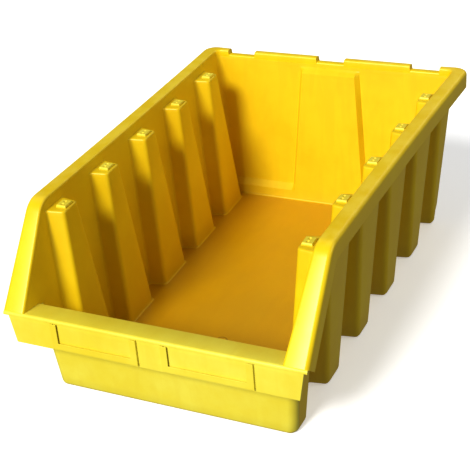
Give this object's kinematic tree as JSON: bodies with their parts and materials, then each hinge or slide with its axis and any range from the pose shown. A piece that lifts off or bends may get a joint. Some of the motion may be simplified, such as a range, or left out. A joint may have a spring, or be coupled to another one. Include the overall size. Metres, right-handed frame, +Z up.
{
  "type": "stackable storage bin",
  "caption": "Open-front stacking bin with a low lip, label frames on an apron, side walls corrugated by hollow pilasters and a turned-down rim",
  "frame": {"origin": "on the ground under the middle of the bin's bounding box", "axes": "+Z up; the low open front faces -Y, the high back +Y; +X is to the right for someone facing the front"},
  "size_m": [0.3324, 0.5, 0.187],
  "materials": {
    "yellow_polypropylene": "moulded, satin, lightly scuffed"
  },
  "bodies": {
    "root": {"back_centre_panel": "yellow_polypropylene", "centre_rear_notch": "yellow_polypropylene", "floor_panel": "yellow_polypropylene", "front_lip": "yellow_polypropylene", "front_wall": "yellow_polypropylene", "label_panel": "yellow_polypropylene", "left_back_ledge": "yellow_polypropylene", "left_back_wall": "yellow_polypropylene", "left_front_cheek": "yellow_polypropylene", "left_front_side_wall": "yellow_polypropylene", "left_label_frame": "yellow_polypropylene", "left_pilaster_1": "yellow_polypropylene", "left_pilaster_2": "yellow_polypropylene", "left_pilaster_3": "yellow_polypropylene", "left_pilaster_4": "yellow_polypropylene", "left_pilaster_5": "yellow_polypropylene", "left_pillar_1": "yellow_polypropylene", "left_pillar_2": "yellow_polypropylene", "left_pillar_3": "yellow_polypropylene", "left_pillar_4": "yellow_polypropylene", "left_rear_corner_rim": "yellow_polypropylene", "left_rear_notch": "yellow_polypropylene", "left_rear_rim": "yellow_polypropylene", "left_rear_side_wall": "yellow_polypropylene", "left_side_band": "yellow_polypropylene", "left_side_rim": "yellow_polypropylene", "left_slanted_rim": "yellow_polypropylene", "left_stacking_lug_1": "yellow_polypropylene", "left_stacking_lug_2": "yellow_polypropylene", "left_stacking_lug_3": "yellow_polypropylene", "left_stacking_lug_4": "yellow_polypropylene", "left_stacking_lug_5": "yellow_polypropylene", "right_back_ledge": "yellow_polypropylene", "right_back_wall": "yellow_polypropylene", "right_front_cheek": "yellow_polypropylene", "right_front_side_wall": "yellow_polypropylene", "right_label_frame": "yellow_polypropylene", "right_pilaster_1": "yellow_polypropylene", "right_pilaster_2": "yellow_polypropylene", "right_pilaster_3": "yellow_polypropylene", "right_pilaster_4": "yellow_polypropylene", "right_pilaster_5": "yellow_polypropylene", "right_pillar_1": "yellow_polypropylene", "right_pillar_2": "yellow_polypropylene", "right_pillar_3": "yellow_polypropylene", "right_pillar_4": "yellow_polypropylene", "right_rear_corner_rim": "yellow_polypropylene", "right_rear_notch": "yellow_polypropylene", "right_rear_rim": "yellow_polypropylene", "right_rear_side_wall": "yellow_polypropylene", "right_side_band": "yellow_polypropylene", "right_side_rim": "yellow_polypropylene", "right_slanted_rim": "yellow_polypropylene", "right_stacking_lug_1": "yellow_polypropylene", "right_stacking_lug_2": "yellow_polypropylene", "right_stacking_lug_3": "yellow_polypropylene", "right_stacking_lug_4": "yellow_polypropylene", "right_stacking_lug_5": "yellow_polypropylene"}
  },
  "joints": []
}
